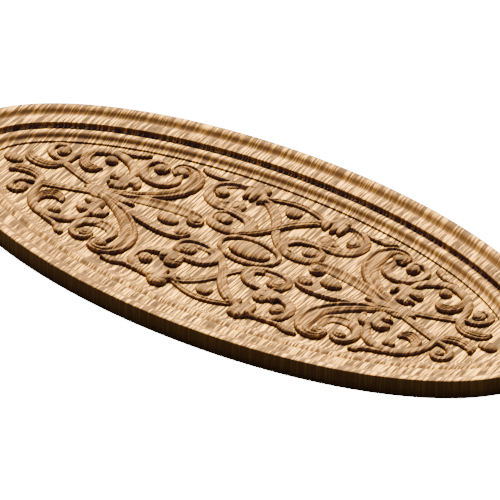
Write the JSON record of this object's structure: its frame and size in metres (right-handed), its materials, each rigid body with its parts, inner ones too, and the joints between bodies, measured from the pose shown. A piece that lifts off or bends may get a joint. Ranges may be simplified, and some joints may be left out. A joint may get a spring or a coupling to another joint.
{
  "type": "carved medallion",
  "caption": "Oval carved wood medallion with a moulded rim, a sunk ground and acanthus scrollwork in low relief, flat behind for fixing to a wall, door or furniture.",
  "frame": {"origin": "middle of the flat back face", "axes": "+X along the oval's long way, +Y along its short way, +Z out of the carved face"},
  "size_m": [0.6, 0.2672, 0.0182],
  "materials": {
    "carved_wood": "bare light wood, satin, open grain across the short way"
  },
  "bodies": {
    "root": {"carved_medallion": "carved_wood"}
  },
  "joints": []
}
